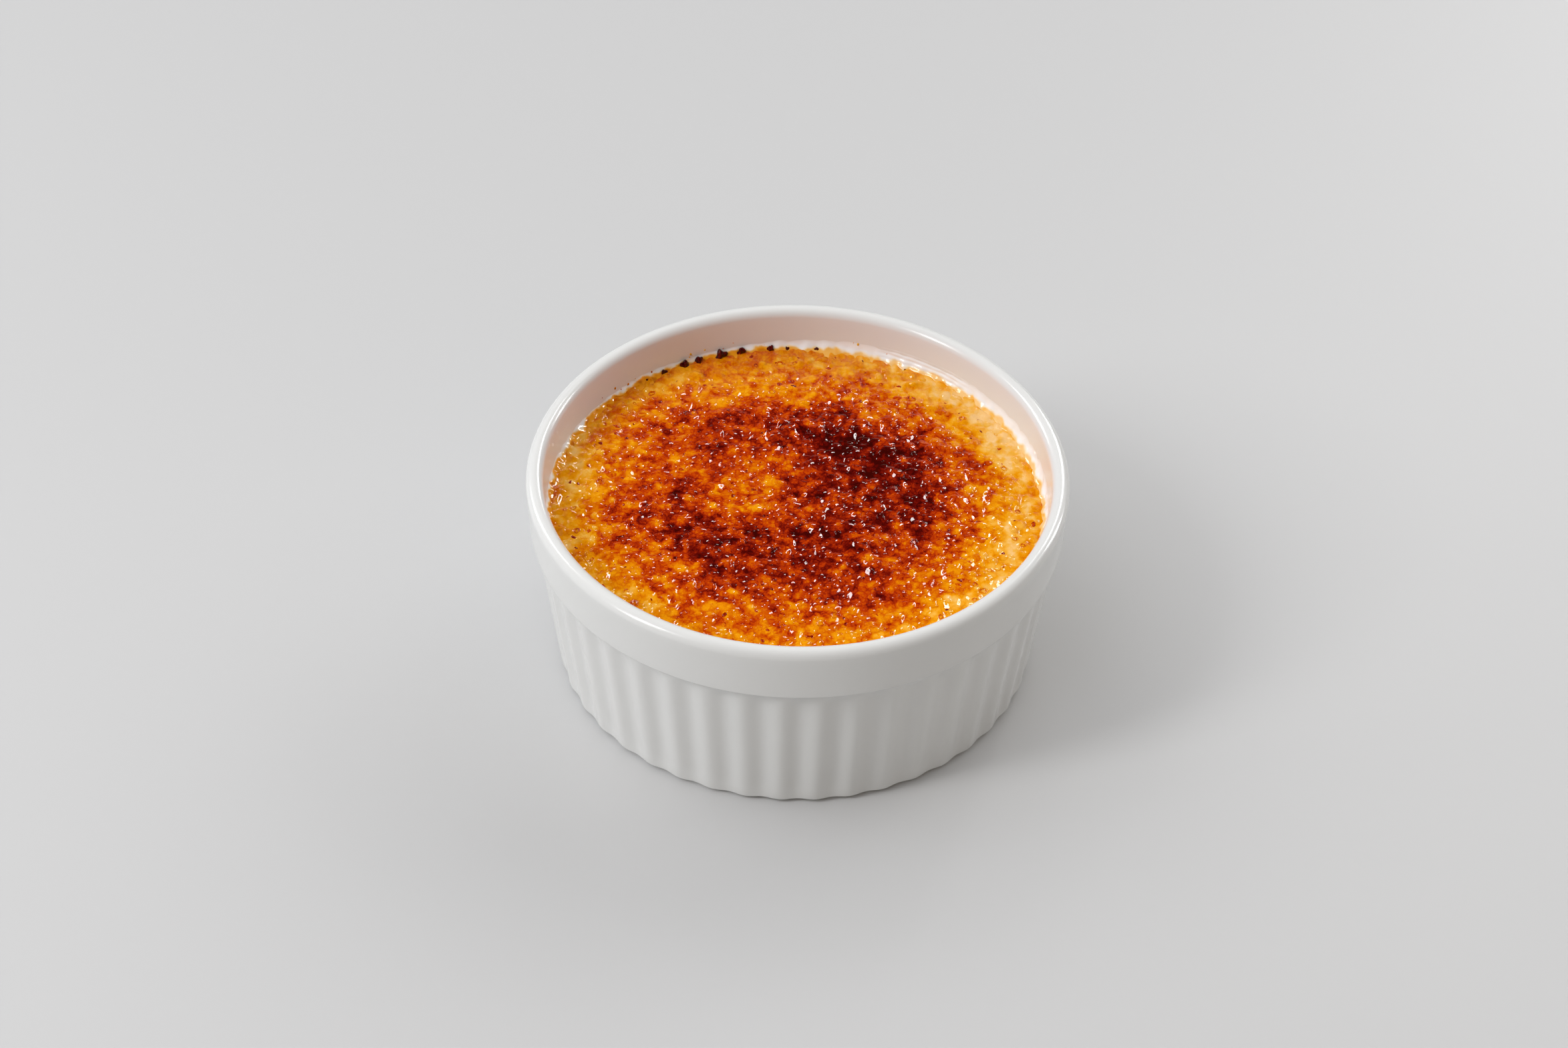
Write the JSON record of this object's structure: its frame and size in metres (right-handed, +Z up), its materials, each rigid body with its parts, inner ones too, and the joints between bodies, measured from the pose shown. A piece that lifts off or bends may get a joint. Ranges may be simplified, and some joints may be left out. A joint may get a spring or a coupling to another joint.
{
  "type": "creme brulee",
  "caption": "Torched custard dessert with a glassy, blistered caramel lid, filling a round white fluted porcelain ramekin nearly to its rim.",
  "frame": {"origin": "centre of the dish's foot, on the surface it stands on", "axes": "+Z up the dish's centre line, towards the rim"},
  "size_m": [0.1, 0.1, 0.042],
  "materials": {
    "porcelain": "gloss",
    "custard": "satin",
    "caramel": "gloss"
  },
  "bodies": {
    "root": {"ramekin": "porcelain", "custard": "custard", "caramel_crust": "caramel"}
  },
  "joints": []
}
